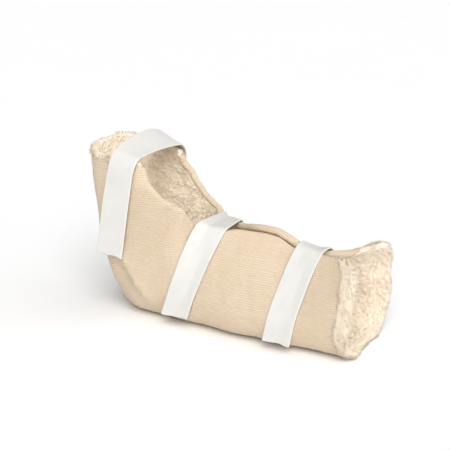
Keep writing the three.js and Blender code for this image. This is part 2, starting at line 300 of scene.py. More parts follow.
# Mesh helpers
def to_frame(points):
    """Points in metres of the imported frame, never below the floor."""
    p = (np.asarray(points).reshape(-1, 3) - CENTRE) * MM
    p[:, 2] = np.maximum(p[:, 2], 0)
    return p


def add_object(name, data):
    obj = bpy.data.objects.new(name, data)
    bpy.context.scene.collection.objects.link(obj)
    return obj


def piece(name, points, faces, material, node, marks):
    """An object from points in millimetres. marks are named vectors, one for each point."""
    mesh = bpy.data.meshes.new(name)
    mesh.from_pydata(to_frame(points).tolist(), [], faces)
    for key, value in marks:
        layer = mesh.attributes.new(key, "FLOAT_VECTOR", "POINT")
        layer.data.foreach_set("vector", np.asarray(value, np.float32).ravel())
    mesh.validate()
    mesh.shade_smooth()
    mesh.materials.append(material)
    obj = add_object(name, mesh)
    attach(obj, "root")
    if node:
        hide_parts(node)
    return obj


def quads(grid, flip):
    """Faces of a grid of point numbers, turned over if flip is true."""
    corners = [grid[:-1, :-1], grid[1:, :-1], grid[1:, 1:], grid[:-1, 1:]]
    if flip:
        corners = [corners[k] for k in (0, 3, 2, 1)]
    return np.stack(corners, -1).reshape(-1, 4)


def rim_order(n, m):
    """Points round the border of a grid, in order."""
    base = np.arange(n * m).reshape(n, m)
    return np.concatenate([base[0, :-1], base[:-1, -1], base[-1, :0:-1], base[:0:-1, 0]])


def shell(front, back, out):
    """Points and faces of a closed shell, and its rim, which is rounded outward by out."""
    n, m = front.shape[:2]
    size = n * m
    rim = rim_order(n, m)
    f, b = front.reshape(-1, 3), back.reshape(-1, 3)
    _, du, dv = grid_frame(front)
    away = np.zeros_like(front)
    away[0] -= du[0]
    away[-1] += du[-1]
    away[:, 0] -= dv[:, 0]
    away[:, -1] += dv[:, -1]
    mid = (f[rim] + b[rim]) / 2 + unit(away.reshape(-1, 3)[rim]) * out
    base = np.arange(size).reshape(n, m)
    loop = 2 * size + np.arange(len(rim))
    after, loop_after = np.roll(rim, -1), np.roll(loop, -1)
    faces = [quads(base, False), quads(base + size, True),
             np.stack([rim, after, loop_after, loop], -1),
             np.stack([loop, loop_after, after + size, rim + size], -1)]
    return np.concatenate([f, b, mid]), np.concatenate(faces).tolist(), rim


# Form of a tuft: slowing rise, late lean, curl, twist, flat section and tint of the root
TUFT_DROOP = 0.2
TUFT_LATE = 1.7
TUFT_CURL = 2.6
TUFT_TWIST = 0.35
TUFT_WIDE = 1.35
TUFT_THICK = 0.6
TUFT_ROOT = 0.45


def tuft_piece(name, node, place, form, stops, taper, tint=None):
    """Flat three-sided locks that lean over towards the tip and curl to the side. top is their upper side.

    stops are the places of the rings along a lock, with the tip last, and taper gives their widths."""
    root, up, lean, side, length, radius, top = form
    count, sides = len(root), 3
    steps = np.array(stops)[:, None, None]
    bend = lean[None] * steps**TUFT_LATE + side[None] * np.sin(steps * TUFT_CURL)
    path = root[None] + length[None, :, None] * (up[None] * (steps - TUFT_DROOP * steps**2) + bend)
    way = unit(np.gradient(path, axis=0))
    twist = math.pi / 2 + rng.normal(0, TUFT_TWIST, count)
    across = unit(np.cross(np.broadcast_to(top[None], way.shape), way))
    rise = np.cross(way, across)
    rings = len(stops) - 1
    points = []
    for k in range(rings):
        wide = (radius * taper[k])[:, None]
        for corner in range(sides):
            a = (twist + corner * math.tau / sides)[:, None]
            flat = TUFT_WIDE * np.cos(a) * across[k] + TUFT_THICK * np.sin(a) * rise[k]
            points.append(path[k] + wide * flat)
    points.append(path[rings])
    points = np.stack(points, 1)
    size = points.shape[1]
    faces = []
    for k in range(rings):
        for c in range(sides):
            p, q = sides * k + c, sides * k + (c + 1) % sides
            if k == rings - 1:
                faces.append((p, q, size - 1))
            else:
                faces.append((p, q, q + sides))
                faces.append((p, q + sides, p + sides))
    faces = (np.array(faces)[None] + (np.arange(count) * size)[:, None, None]).reshape(-1, 3)
    mark = np.empty((count, size, 3))
    mark[..., 0] = mix(TUFT_ROOT, 1, np.concatenate([np.repeat(stops[:-1], sides), stops[-1:]]))
    mark[..., 1:] = rng.random((count, 1, 2))
    if tint:
        mark[:] = tint
    marks = [("cloth", np.repeat(place, size, 0)), ("tuft", mark)]
    return piece(name, points, faces.tolist(), PILE, node, marks)


# Materials
class Nodes:
    """A short way to write the nodes of a new material, or of the world."""

    def __init__(self, name, kind=bpy.data.materials):
        self.block = kind.new(name)
        self.block.use_nodes = True
        self.tree = self.block.node_tree

    def new(self, kind, values=()):
        node = self.tree.nodes.new("ShaderNode" + kind)
        self.put(node, values)
        return node

    def put(self, node, values):
        """Links or constants for a node's inputs, by name or number."""
        for key, value in values:
            if isinstance(value, bpy.types.NodeSocket):
                self.tree.links.new(value, node.inputs[key])
            else:
                node.inputs[key].default_value = value

    def math(self, kind, a, b=0.0):
        node = self.new("Math", ((0, a), (1, b)))
        node.operation = kind
        return node.outputs[0]

    def times(self, a, b):
        return self.math("MULTIPLY", a, b)

    def wave(self, place, stray, sway, step):
        """Phase of a wave along place, moved by stray."""
        moved = self.math("ADD", place, self.times(stray, sway))
        return self.times(moved, math.tau / step)

    def span(self, value, low, high, to_low=0.0, to_high=1.0):
        keys = ("Value", "From Min", "From Max", "To Min", "To Max")
        return self.new("MapRange", zip(keys, (value, low, high, to_low, to_high))).outputs[0]

    def mix(self, factor, a, b):
        node = self.new("Mix")
        node.data_type = "RGBA"
        self.put(node, ((0, factor), (6, a), (7, b)))
        return node.outputs[2]

    def mark(self, name):
        node = self.new("Attribute")
        node.attribute_name = name
        return node.outputs["Vector"]

    def parts(self, vector):
        return self.new("SeparateXYZ", ((0, vector),)).outputs

    def join(self, x, y):
        return self.new("CombineXYZ", ((0, x), (1, y))).outputs[0]

    def noise(self, vector, scale, detail=2.0, rough=0.5):
        keys = ("Vector", "Scale", "Detail", "Roughness")
        return self.new("TexNoise", zip(keys, (vector, scale, detail, rough))).outputs[0]

    def bump(self, height, strength, distance):
        keys = ("Height", "Strength", "Distance")
        return self.new("Bump", zip(keys, (height, strength, distance))).outputs[0]

    def finish(self, colour, rough, normal, sheen, sheen_tint):
        shader = self.tree.nodes["Principled BSDF"]
        self.put(shader, (("Base Color", colour), ("Roughness", rough), ("Normal", normal),
                          ("Specular IOR Level", 0.2), ("Sheen Weight", sheen),
                          ("Sheen Roughness", 0.5), ("Sheen Tint", sheen_tint)))
        return self.block


def knit_material():
    """Tan weft knit: fine courses straight across the cut, loops in them, painted shade in the furrows
    between the courses, soft mottling and stray fuzz.
    """
    tan, pale = (0.677, 0.533, 0.378, 1), (0.705, 0.588, 0.451, 1)
    mottled, streaked = (0.734, 0.635, 0.509, 1), (0.644, 0.5, 0.346, 1)
    # The first colour below is painted shade for the furrows between the courses.
    furrow_shade, fibre, sheen = (0.543, 0.41, 0.27, 1), (0.78, 0.718, 0.621, 1), (1.0, 0.93, 0.84, 1)
    m = Nodes("knit_tan")
    cloth = m.mark("cloth")
    x, z, _ = m.parts(m.mark("cut"))
    stray = m.math("SUBTRACT", m.noise(cloth, 0.05, 3.0), 0.5)
    course = m.wave(z, stray, sway=2.4, step=2.7)
    wale = m.wave(x, stray, sway=2.0, step=2.0)
    rib = m.span(m.math("SINE", course), -1.0, 1.0)
    loop = m.span(m.math("SINE", m.math("ADD", wale, m.times(course, 0.5))), -1.0, 1.0)
    fuzz = m.noise(cloth, 1.7, 4.0, 0.65)
    broad = m.noise(cloth, 0.02, 3.0)
    mottle = m.noise(cloth, 0.14, 4.0, 0.6)
    streak = m.noise(m.join(m.times(x, 0.07), z), 0.42, 3.0, 0.6)
    height = m.math("ADD", m.times(rib, 0.55), m.times(loop, 0.3))
    height = m.math("ADD", height, m.times(fuzz, 0.6))
    colour = m.mix(m.span(broad, 0.3, 0.7), tan, pale)
    colour = m.mix(m.span(mottle, 0.38, 0.72, 0.0, 0.55), colour, mottled)
    colour = m.mix(m.span(streak, 0.42, 0.72, 0.0, 0.65), colour, streaked)
    # Painted shade: darker in the furrows between the courses, where the rib is low.
    colour = m.mix(m.span(rib, 0.0, 0.6, 0.58, 0.0), colour, furrow_shade)
    colour = m.mix(m.span(fuzz, 0.58, 0.74, 0.0, 0.75), colour, fibre)
    rough = m.span(fuzz, 0.3, 0.7, 0.78, 0.96)
    normal = m.bump(height, 0.8, 0.0006)
    return m.finish(colour, rough, normal, 0.25, sheen)


def pile_material():
    """Cream pile: warmer at the roots, with a tint of its own for each tuft and each clump.

    The outer side is darker with painted shade where it faces the light, and so is the inner side at the
    calf end, which lies open to the light."""
    root, tip, pale = (0.965, 0.822, 0.645, 1), (0.98, 0.875, 0.732, 1), (0.98, 0.893, 0.775, 1)
    golden, clumped = (0.955, 0.808, 0.63, 1), (0.965, 0.838, 0.675, 1)
    # The first two colours below are painted shade: for the inner side at the calf end and for the outer
    # side.
    open_end_shade, outer, sheen = (0.7, 0.605, 0.485, 1), (0.715, 0.615, 0.495, 1), (1.0, 0.92, 0.8, 1)
    m = Nodes("pile_cream")
    cloth = m.mark("cloth")
    along, tint, warm = m.parts(m.mark("tuft"))
    clump = m.noise(cloth, 0.09, 3.0)
    fine = m.noise(cloth, 0.9, 3.0)
    colour = m.mix(m.span(along, 0.0, 0.9), root, tip)
    colour = m.mix(m.span(tint, 0.0, 1.0, 0.0, 0.4), colour, pale)
    colour = m.mix(m.span(warm, 0.6, 1.0, 0.0, 0.25), colour, golden)
    colour = m.mix(m.span(clump, 0.35, 0.7, 0.0, 0.3), colour, clumped)
    rough = m.span(fine, 0.3, 0.7, 0.85, 0.98)
    place, _, outside = m.parts(cloth)
    inside = m.math("SUBTRACT", 1.0, outside)
    # Painted shade on the inner side at the calf end, which lies open to the light, fading out along the
    # spine.
    calf_shade_share = m.times(m.span(place, 70.0, 200.0, 0.4, 0.0), inside)
    colour = m.mix(calf_shade_share, colour, open_end_shade)
    # Painted shade on the pile's outer side, and on the knit's stray fibres, which are marked as outside.
    colour = m.mix(m.times(outside, 0.8), colour, outer)
    normal = m.bump(fine, 0.15, 0.0003)
    return m.finish(colour, rough, normal, 0.05, sheen)


def strap_material():
    """White brushed tape: a close weave under a short nap, with a painted highlight on the raised nap and
    painted shade in its hollows, and firm woven edges.
    """
    grey, white = (0.67, 0.655, 0.623, 1), (0.696, 0.682, 0.652, 1)
    # The second line of colours holds a painted highlight for the raised nap and painted shade for its
    # hollows.
    nap_highlight, hollow = (0.741, 0.73, 0.703, 1), (0.598, 0.582, 0.548, 1)
    woven, sheen = (0.759, 0.743, 0.706, 1), (1.0, 0.99, 0.97, 1)
    m = Nodes("strap_white")
    cloth = m.mark("cloth")
    x, y, _ = m.parts(cloth)
    stray = m.math("SUBTRACT", m.noise(cloth, 0.25, 2.0), 0.5)
    warp = m.math("SINE", m.wave(y, stray, sway=0.5, step=0.9))
    weft = m.math("SINE", m.wave(x, stray, sway=0.5, step=1.1))
    weave = m.times(warp, weft)
    nap = m.noise(cloth, 2.4, 4.0, 0.7)
    broad = m.noise(cloth, 0.05, 3.0)
    edge = m.span(m.math("ABSOLUTE", y), 14.4, 15.0)
    height = m.math("ADD", m.times(weave, 0.22), m.times(nap, 0.75))
    height = m.math("ADD", height, m.times(edge, 0.5))
    colour = m.mix(m.span(broad, 0.3, 0.7), grey, white)
    # Painted highlight: lighter on the raised nap.
    colour = m.mix(m.span(nap, 0.55, 0.8, 0.0, 0.5), colour, nap_highlight)
    # Painted shade: darker in the hollows of the nap.
    colour = m.mix(m.span(nap, 0.45, 0.2, 0.0, 0.35), colour, hollow)
    colour = m.mix(m.times(edge, 0.3), colour, woven)
    rough = m.span(nap, 0.3, 0.75, 0.66, 0.9)
    normal = m.bump(height, 0.5, 0.0003)
    return m.finish(colour, rough, normal, 0.15, sheen)


def thread_material():
    """White sewing thread with its twist."""
    shaded, bright, sheen = (0.72, 0.71, 0.685, 1), (0.87, 0.862, 0.842, 1), (1.0, 1.0, 1.0, 1)
    m = Nodes("thread_white")
    cloth = m.mark("cloth")
    x, y, _ = m.parts(cloth)
    twist = m.math("SINE", m.wave(x, y, sway=1.0, step=0.8))
    grain = m.noise(cloth, 1.5, 2.0)
    colour = m.mix(m.span(twist, -1.0, 1.0), shaded, bright)
    rough = m.span(grain, 0.3, 0.7, 0.45, 0.65)
    normal = m.bump(twist, 0.4, 0.00015)
    return m.finish(colour, rough, normal, 0.1, sheen)


KNIT = knit_material()
PILE = pile_material()
STRAP = strap_material()
THREAD = thread_material()

# Knit face, set back from the cut edges so that the pile shows round it
KNIT_ROWS = 220
KNIT_COLUMNS = 180
KNIT_THICK = 1.7
KNIT_RIM = 0.5
ROLL_ROUND = 4.8
ROLL_LEAST = 0.1
ROLL_TURN = math.radians(155)
ROLL_COLUMNS = 8
ROLL_START = 16
ROLL_RISE = 20
KNIT_EDGE = 1 - ROLL_ROUND / GIRTH
TOE_BACK = 5.0
EDGE_WAVES = (31, 22, 17)
TOE_WAVE = 0.8

# turn, how far the knit stops before the calf end
CALF_BACK = np.array([(-1, 18), (-0.8, 17), (-0.55, 14), (-0.3, 11), (0, 9), (0.4, 9), (1, 10)], float)

# Front edges of the leg part: where they rise past the cut and fall back, and how far they reach
FRONT_SPAN = (70, 94, 140, 172)
FRONT_OVER = 7.5


def front_over(a):
    """How far the two front edges of the leg part reach past the cut, towards each other."""
    return FRONT_OVER * ease(np.interp(a, FRONT_SPAN, (0, 1, 1, 0)))


def rolled(a):
    """How far the front edges are turned in: not near the calf end, where the pile shows."""
    return ease((a - ROLL_START) / ROLL_RISE)


def knit_edges(turn):
    """How far from the ends of the wall the knit stops, at the calf and at the toes."""
    wave = ripple(turn * GIRTH, 0, EDGE_WAVES, seed=8)
    return read(CALF_BACK, turn)[..., 0] + wave, TOE_BACK - TOE_WAVE * wave


def even_rows(v):
    """Unit vectors smoothed along the rows."""
    reach = 5
    pad = np.pad(v, ((reach, reach), (0, 0)), mode="edge")
    return unit(sum(pad[k:k + len(v)] for k in range(2 * reach + 1)))


def flat_cut(s, turn, p):
    """Where each point lay in the flat cut of its side, whose courses run straight across it."""
    x, z, dx, dz = section_way(s)
    belly = read(SECTIONS, s)[..., 2]
    deep = (p[..., 0] - x) * dx + (p[..., 2] - z) * dz
    run = length_along(p)
    away = np.empty(run.shape)
    for k in range(len(p)):
        away[k] = np.abs(run[k] - np.interp(0, turn[k], run[k]))
        for side in (turn[k] < 0, turn[k] >= 0):
            order = np.argsort(away[k, side])
            level = np.maximum.accumulate(deep[k, side][order])
            wide = np.interp(belly[k, side].mean(), level, away[k, side][order])
            away[k, side] += belly[k, side].mean() - wide
    return np.stack([x + away * dx, z + away * dz, np.zeros(s.shape)], -1)


def make_knit():
    """The knit as a closed shell, with its two front edges turned in."""
    rows = np.linspace(0, 1, KNIT_ROWS)
    turns = np.linspace(-KNIT_EDGE, KNIT_EDGE, KNIT_COLUMNS)
    calf, toe = knit_edges(turns)
    s, turn = places(rows, turns)
    first, long = s[0], s[-1] - s[0]
    low, high = s[0] + calf, s[-1] - toe
    s = mix(low, high, rows[:, None])
    p = soft_wall(s, turn)
    n, _, v = grid_frame(p)
    cloth = np.stack([s, turn * GIRTH, np.zeros(s.shape)], -1)
    cut = flat_cut(s, turn, p)
    for edge, inner, sign in ((0, 1, -1), (-1, -2, 1)):
        a = (s[:, edge] - first[edge]) / long[edge] * SPINE
        over = front_over(a)[:, None]
        far = over + ROLL_ROUND * (ROLL_LEAST + ROLL_TURN * rolled(a)[:, None])
        run = far * np.linspace(0, 1, ROLL_COLUMNS + 1)[1:]
        angle = np.maximum(run - over, 0) / ROLL_ROUND
        ahead = (np.minimum(run, over) + ROLL_ROUND * np.sin(angle))[..., None]
        down = ROLL_ROUND * (1 - np.cos(angle))[..., None]
        out, inward = sign * even_rows(v[:, edge]), even_rows(n[:, edge])
        way = unit(cut[:, edge] - cut[:, inner])
        rolls = (p[:, edge, None] + out[:, None] * ahead + inward[:, None] * down,
                 cloth[:, edge, None] + run[..., None] * np.array([0, sign, 0]),
                 cut[:, edge, None] + run[..., None] * way[:, None])
        p, cloth, cut = (np.concatenate([roll[:, ::sign], grid][::-sign], 1)
                         for roll, grid in zip(rolls, (p, cloth, cut)))
    points, faces, rim = shell(p, p + grid_frame(p)[0] * KNIT_THICK, KNIT_RIM)
    marks = []
    for key, value in (("cloth", cloth.reshape(-1, 3)), ("cut", cut.reshape(-1, 3))):
        marks.append((key, np.concatenate([value, value, value[rim]])))
    return piece("knit_face", points, faces, KNIT, "knit_shell", marks)


# Stray fibres: limits of place, length, radius and lift, then curl, depth of the root and tint
FUZZ_ALONG = (14, SPINE - 30)
FUZZ_TURN = 0.97
FUZZ_LONG = (1.4, 3.2)
FUZZ_RADIUS = (0.07, 0.13)
FUZZ_LIFT = (0.15, 0.45)
FUZZ_CURL = 0.25
FUZZ_SUNK = 0.15
FUZZ_TINT = (0.3, 0.6, 0.3)


def make_fuzz(name, count):
    """Stray fibres of the knit, flat along its outer face."""
    a = rng.uniform(*FUZZ_ALONG, count)
    b = rng.uniform(-FUZZ_TURN, FUZZ_TURN, count) * GIRTH
    p, n, u, v = dense_at(a, b)
    way = rng.uniform(0, math.tau, count)
    cos, sin = np.cos(way)[:, None], np.sin(way)[:, None]
    curl = (v * cos - u * sin) * rng.normal(0, FUZZ_CURL, count)[:, None]
    length = rng.uniform(*FUZZ_LONG, count)
    radius = rng.uniform(*FUZZ_RADIUS, count)
    lift = -n * rng.uniform(*FUZZ_LIFT, count)[:, None]
    form = (p + n * FUZZ_SUNK, lift, u * cos + v * sin, curl, length, radius, -n)
    # The third value marks the fibres as outside, so they take the pile's painted outer shade.
    place = np.stack([a, b, np.ones(count)], -1)
    return tuft_piece(name, "knit_shell", place, form, (0.0, 0.6, 1.0), (1.0, 0.8), FUZZ_TINT)


# Clumps of the pile: each has a middle and draws of its own
CLUMP = 7.0
CLUMP_BEND = 1.1
CLUMP_ROWS = int(SPINE / CLUMP) + 8
CLUMP_COLUMNS = int(2 * GIRTH / CLUMP) + 8
CLUMP_DRAWS = rng.random((CLUMP_ROWS, CLUMP_COLUMNS, 5))


def clump_at(a, b, size=CLUMP):
    """The nearest clump: offsets from its middle, distance to its border, and its draws."""
    bent_a = a + CLUMP_BEND * ripple(a, b, (15, 11, 8.5), seed=51)
    bent_b = b + GIRTH + CLUMP_BEND * ripple(a, b, (14, 10.5, 8), seed=53)
    row = np.floor(bent_a / size).astype(int)
    column = np.floor(bent_b / size).astype(int)
    best = second = np.full(a.shape, np.inf)
    off = np.zeros(a.shape + (2,))
    own = np.zeros(a.shape + (3,))
    for di in (-1, 0, 1):
        for dj in (-1, 0, 1):
            r, c = row + di, column + dj
            draw = CLUMP_DRAWS[r % CLUMP_ROWS, c % CLUMP_COLUMNS]
            to = np.stack([bent_a / size - r - draw[..., 0], bent_b / size - c - draw[..., 1]], -1)
            far = np.linalg.norm(to, axis=-1)
            closer = far < best
            second = np.where(closer, best, np.minimum(second, far))
            best = np.where(closer, far, best)
            off = np.where(closer[..., None], to, off)
            own = np.where(closer[..., None], draw[..., 2:], own)
    return off, second - best, own


def dome(a, b, size):
    """Round heads of the clumps, from 0 at their borders to 1."""
    border = clump_at(a, b, size)[1]
    return 1 - (1 - np.clip(border * 1.4, 0, 1))**2


# Lining of pile behind the knit, with a soft lip that stands out past the cut edges
LINING_ROWS = 150
LINING_COLUMNS = 100
PILE_OUT = 2.3
PILE_DEEP = 5.9
FINE_ROWS = 24
FINE_COLUMNS = 6
LIP = 4.5
LIP_EDGE = 0.12
LIP_INSIDE = 2.5
PUFF_EARLY = 1.5
PUFF_RISE = 1.6

dense = soft_wall(*places(np.linspace(0, 1, 258), np.linspace(-1, 1, 194)))
dense_n, dense_u, dense_v = grid_frame(dense)


def ends_of(b):
    """Where the lip starts and ends along the spine, with its scallops."""
    calf = -0.6 - 1.3 * ripple(b, 0, (58, 43, 33), seed=41)
    toe = SPINE + 0.3 + 0.8 * ripple(b, 0, (47, 36, 27), seed=42)
    return calf, toe


def lip_over(a):
    """How far the lining reaches past the cut at the two front edges, inside the turned knit."""
    return front_over(a) - LIP_INSIDE * rolled(a)


def dense_at(a, b):
    """Point, inward normal and the two directions of the soft wall, also a little past its ends."""
    n, m = dense.shape[:2]
    i, j = a / SPINE * (n - 1), (b / GIRTH + 1) / 2 * (m - 1)
    u = unit(sample(dense_u, i, j))
    v = unit(sample(dense_v, i, j))
    past = np.minimum(a, 0) + np.maximum(a - SPINE, 0)
    over = np.sign(b) * np.maximum(np.abs(b) - GIRTH, 0)
    return sample(dense, i, j) + u * past[..., None] + v * over[..., None], unit(sample(dense_n, i, j)), u, v


def bare_ends(b):
    """How far the pile is bare at the calf and at the toes, on the even rows of the lining."""
    turn = np.clip(b / GIRTH, -1, 1)
    ends = read(ENDS, turn)
    stretch = SPINE / (SPINE - ends[..., 0] - ends[..., 1])
    calf, toe = knit_edges(turn)
    return calf * stretch, toe * stretch


def lining_deep(a, b):
    """Depths of the lining's outer and inner face under the soft wall, and the heads of its clumps."""
    calf, toe = ends_of(b)
    knit_calf, knit_toe = bare_ends(b)
    bare = np.maximum(knit_calf - a, knit_toe - (SPINE - a))
    flat = 1 - rolled(a)
    bare = np.maximum(bare, (np.abs(b) - KNIT_EDGE * GIRTH - 1.3) * flat - 3 * (1 - flat))
    puff = ease((bare + PUFF_EARLY) / PUFF_RISE)
    big, small = dome(a, b, CLUMP), dome(a + 90, b, 0.55 * CLUMP)
    outer = mix(PILE_OUT, 0.2 - 0.8 * big - 0.3 * small, puff)
    inner = PILE_OUT + PILE_DEEP - 1.2 + 1.4 * big + 0.6 * small + 0.4 * ripple(a, b, (47, 38, 29), seed=21)
    rim = np.minimum(np.minimum(a - calf, toe - a), GIRTH + lip_over(a) - np.abs(b))
    x = np.clip(rim / LIP, 0, 1)
    shut = mix(LIP_EDGE, 1, np.sqrt(1 - (1 - x)**2))
    middle, half = (outer + inner) / 2, (inner - outer) / 2 * shut
    return middle - half, middle + half, big


def fine_ends(count, long, fine):
    """Places from 0 to 1, a millimetre apart over a stretch at the two ends and even between."""
    first = np.arange(fine)
    body = np.linspace(fine, long - fine, count - 2 * fine)
    return np.concatenate([first, body, long - first[::-1]]) / long


def make_lining():
    """A closed layer whose outer face, hidden for the most part, has every second point of the inner."""
    n, m = 2 * LINING_ROWS - 1, 2 * LINING_COLUMNS - 1
    rows, columns = fine_ends(n, SPINE, FINE_ROWS), fine_ends(m, 2 * GIRTH, FINE_COLUMNS)
    b = (columns * 2 - 1) * (GIRTH + lip_over(rows * SPINE))[:, None]
    calf, toe = ends_of(b)
    a = mix(calf, toe, rows[:, None])
    p, inward, _, _ = dense_at(a, b)
    low, high, big = lining_deep(a, b)
    inner = (p + inward * high[..., None]).reshape(-1, 3)
    outer = (p + inward * low[..., None])[::2, ::2].reshape(-1, 3)
    base = np.arange(n * m).reshape(n, m)
    back = np.arange(len(outer)).reshape(LINING_ROWS, LINING_COLUMNS) + n * m
    faces = quads(base, True).tolist() + quads(back, False).tolist()
    i0, o0 = rim_order(n, m), rim_order(LINING_ROWS, LINING_COLUMNS) + n * m
    i2, o1 = np.roll(i0, -2)[::2], np.roll(o0, -1)
    i1, i0 = np.roll(i0, -1)[::2], i0[::2]
    for corners in ((o0, o1, i1), (o1, i2, i1), (o0, i1, i0)):
        faces += np.stack(corners, -1).tolist()
    cloth = np.stack([a, b, 0 * a], -1)
    tuft = np.stack([0.1 + 0.6 * big, 0.4 + 0 * a, 0.4 + 0 * a], -1)
    marks = []
    # The outer face is marked as outside, so it takes the pile's painted outer shade.
    for key, value, change in (("cloth", cloth, (0, 0, 1)), ("tuft", tuft, (0, 0, 0))):
        marks.append((key, np.concatenate([value.reshape(-1, 3), value[::2, ::2].reshape(-1, 3) + change])))
    return piece("pile_base", np.concatenate([inner, outer]), faces, PILE, "pile_lining", marks)


# Tufts: middle, spread and limits of the length, limits of radius and lift
TUFT_LONG = (4.4, 0.7, 2.6, 6.5)
FRINGE_LONG = (4.2, 0.7, 2.4, 6.0)
TUFT_RADIUS = (0.22, 0.36)
TUFT_LIFT = (0.15, 0.45)
TUFT_SUNK = 0.5
TUFT_BORDER = 7


def tuft_lengths(limits, count):
    middle, spread, low, high = limits
    return np.clip(rng.normal(middle, spread, count), low, high)


def make_tufts(name, low, high, step):
    """Thin tufts that lie over the clumps between two places on the spine."""
    s_cells = np.arange(low, high, step)
    t_cells = np.arange(-GIRTH + TUFT_BORDER, GIRTH - TUFT_BORDER - step, step)
    a, b = np.meshgrid(s_cells, t_cells, indexing="ij")
    a = (a + rng.uniform(0, step, a.shape)).ravel()
    b = (b + rng.uniform(0, step, b.shape)).ravel()
    count = len(a)
    p, n, u, v = dense_at(a, b)
    off, _, own = clump_at(a, b)
    way = 2.0 * ripple(a, b, (61, 47, 39), seed=31) + 3.0 * (own[..., 1] - 0.5) + rng.normal(0, 0.5, count)
    bend = np.clip(0.6 + 0.4 * own[..., 2] + rng.normal(0, 0.2, count), 0.1, 1.3)
    flow = np.stack([np.cos(way) * bend, np.sin(way) * bend], -1) + off * 0.25
    lean = u * flow[:, :1] + v * flow[:, 1:]
    side = (v * np.cos(way)[:, None] - u * np.sin(way)[:, None]) * rng.normal(0, 0.16, count)[:, None]
    length = tuft_lengths(TUFT_LONG, count)
    radius = rng.uniform(*TUFT_RADIUS, count)
    top = unit(n + 0.55 * (u * off[:, :1] + v * off[:, 1:]))
    root = p + n * (lining_deep(a, b)[1] - TUFT_SUNK)[:, None]
    up = n * rng.uniform(*TUFT_LIFT, count)[:, None]
    form = (root, up, lean, side, length, radius, top)
    place = np.stack([a, b, 0 * a], -1)
    return tuft_piece(name, "pile_lining", place, form, (0.0, 0.55, 1.0), (1.0, 0.9))


# Faces of the lip: lift of the tufts, share of the length, share of the painted outer shade
FRINGE_FACES = {
    "outer": (0.16, 1.0, 1.0),
    "rim": (0.9, 0.65, 0.1),
    "inner": (0.2, 1.0, 0.0),
    "seam": (0.5, 0.65, 1.0),
}
FRINGE_SUNK = 0.4
SEAM_SUNK = 0.6
FRONT_BARE = 3.8
FRONT_ALONG = (2, 34)
FRINGE_CLEAR = {"calf": 0.5, "toe": 30, "front": 0.5}


def make_fringe(name, edges):
    """Thin tufts round the lip. edges: calf, toe or front, with its counts for each face of the lip."""
    sets = []
    for edge, counts in edges:
        for (face, (lift, share, tint)), count in zip(FRINGE_FACES.items(), counts):
            b = rng.uniform(-1, 1, count) * (GIRTH - FRINGE_CLEAR[edge])
            a = rng.uniform(*FRONT_ALONG, count)
            calf, toe = ends_of(b)
            bare_calf, bare_toe = bare_ends(b)
            wide = {"calf": bare_calf - calf, "toe": bare_toe - SPINE + toe,
                    "front": 0 * b + FRONT_BARE}[edge]
            back = {"outer": mix(1.5, wide, rng.random(count)), "rim": rng.uniform(0.6, 1.6, count),
                    "inner": rng.uniform(1.5, 7.0, count),
                    "seam": wide + rng.uniform(-1.0, 0.6, count)}[face]
            sign = np.sign(b)
            if edge == "front":
                b = sign * (GIRTH + lip_over(a) - back)
            else:
                a = calf + back if edge == "calf" else toe - back
            p, n, u, v = dense_at(a, b)
            away = {"calf": -u, "toe": u, "front": v * sign[:, None]}[edge]
            walk = u if edge == "front" else v
            low, high, _ = lining_deep(a, b)
            mid = mix(low, high, rng.uniform(0.05, 0.95, count))
            deep, top = {"outer": (low + FRINGE_SUNK, -n), "rim": (mid, away),
                         "inner": (high - FRINGE_SUNK, n), "seam": (low + SEAM_SUNK, -n)}[face]
            sway = ripple(a, b, (29, 19, 13), seed=43) + rng.normal(0, 0.6, count)
            reach = np.full(count, 1.1 - lift) if face != "seam" else rng.uniform(-0.7, 0.5, count)
            fan = rng.uniform(-0.9, 0.9, count) * (face == "rim")
            up = unit(top * lift + away * reach[:, None] + n * fan[:, None])
            lean = walk * (0.75 * sway)[:, None] - n * rng.normal(0, 0.3, count)[:, None]
            curl = walk * rng.normal(0, 0.18, count)[:, None]
            length = tuft_lengths(FRINGE_LONG, count) * share
            radius = rng.uniform(*TUFT_RADIUS, count)
            # The third value is the face's share of the pile's painted outer shade.
            place = np.stack([a, b, 0 * a + tint], -1)
            sets.append((place, p + n * deep[:, None], up, lean, curl, length, radius, top))
    place, *form = (np.concatenate(x) for x in zip(*sets))
    return tuft_piece(name, "pile_lining", place, form, (0.0, 0.45, 0.8, 1.0), (1.0, 1.0, 0.7))


# Straps
def crossing(grid, start, lean, across):
    """Where the wall's rows or columns meet a leaning plane, as (y, z)."""
    g = grid if across else grid.transpose(1, 0, 2)
    f = g[..., 0] - lean * g[..., 2] - start
    fa, fb = f[:, :-1], f[:, 1:]
    hit = (fa * fb <= 0) & (fa != fb)
    t = (fa[hit] / (fa[hit] - fb[hit]))[:, None]
    return mix(g[:, :-1][hit], g[:, 1:][hit], t)[:, 1:]


# Path of a strap: half its thickness, how far the sewn end stands out, largest step round a bend
STRAP_HALF = 1.0
FAR_OUT = 1.7
BEND_STEP = math.radians(12)


